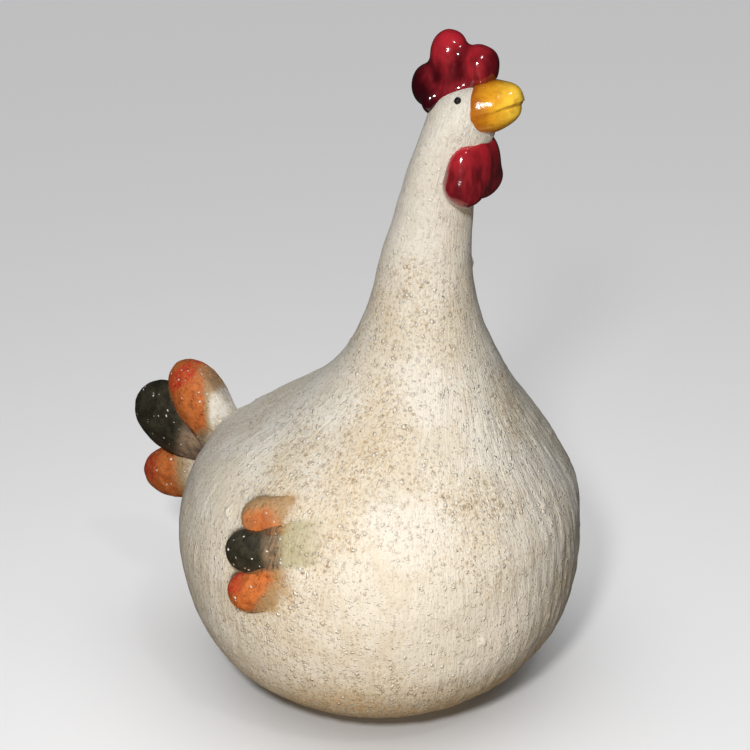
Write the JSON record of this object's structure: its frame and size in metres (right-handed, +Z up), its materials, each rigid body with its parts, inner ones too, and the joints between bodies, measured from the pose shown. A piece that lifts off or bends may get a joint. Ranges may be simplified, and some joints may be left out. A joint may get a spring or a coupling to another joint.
{
  "type": "hen ornament",
  "caption": "Standing plump hen ornament in hollow fired clay, with comb, beak, wattles, wing and tail feathers, resting on a flat foot.",
  "frame": {"origin": "centre of the flat foot, on the surface the hen stands on", "axes": "+Z up through the head, the hen faces -Y, +X is the hen's left side"},
  "size_m": [0.124, 0.1539, 0.1961],
  "materials": {
    "cream_body": "fired clay, cream paint rubbed over brown, satin varnish",
    "red_comb": "gloss glaze",
    "amber_beak_upper": "gloss glaze",
    "amber_beak_lower": "gloss glaze",
    "red_wattle_left": "gloss glaze",
    "red_wattle_right": "gloss glaze",
    "black_eye_left": "gloss enamel dot",
    "black_eye_right": "gloss enamel dot",
    "wing_feather_left_upper_paint": "painted clay under satin varnish",
    "wing_feather_left_middle_paint": "painted clay under satin varnish",
    "wing_feather_left_lower_paint": "painted clay under satin varnish",
    "wing_feather_right_upper_paint": "painted clay under satin varnish",
    "wing_feather_right_middle_paint": "painted clay under satin varnish",
    "wing_feather_right_lower_paint": "painted clay under satin varnish",
    "tail_feather_upper_paint": "painted clay under satin varnish",
    "tail_feather_middle_paint": "painted clay under satin varnish",
    "tail_feather_lower_paint": "painted clay under satin varnish"
  },
  "bodies": {
    "root": {"body_shell": "cream_body", "comb": "red_comb", "beak_upper": "amber_beak_upper", "beak_lower": "amber_beak_lower", "wattle_left": "red_wattle_left", "wattle_right": "red_wattle_right", "eye_left": "black_eye_left", "eye_right": "black_eye_right", "wing_feather_left_upper": "wing_feather_left_upper_paint", "wing_feather_left_middle": "wing_feather_left_middle_paint", "wing_feather_left_lower": "wing_feather_left_lower_paint", "wing_feather_right_upper": "wing_feather_right_upper_paint", "wing_feather_right_middle": "wing_feather_right_middle_paint", "wing_feather_right_lower": "wing_feather_right_lower_paint", "tail_feather_upper": "tail_feather_upper_paint", "tail_feather_middle": "tail_feather_middle_paint", "tail_feather_lower": "tail_feather_lower_paint"}
  },
  "joints": []
}
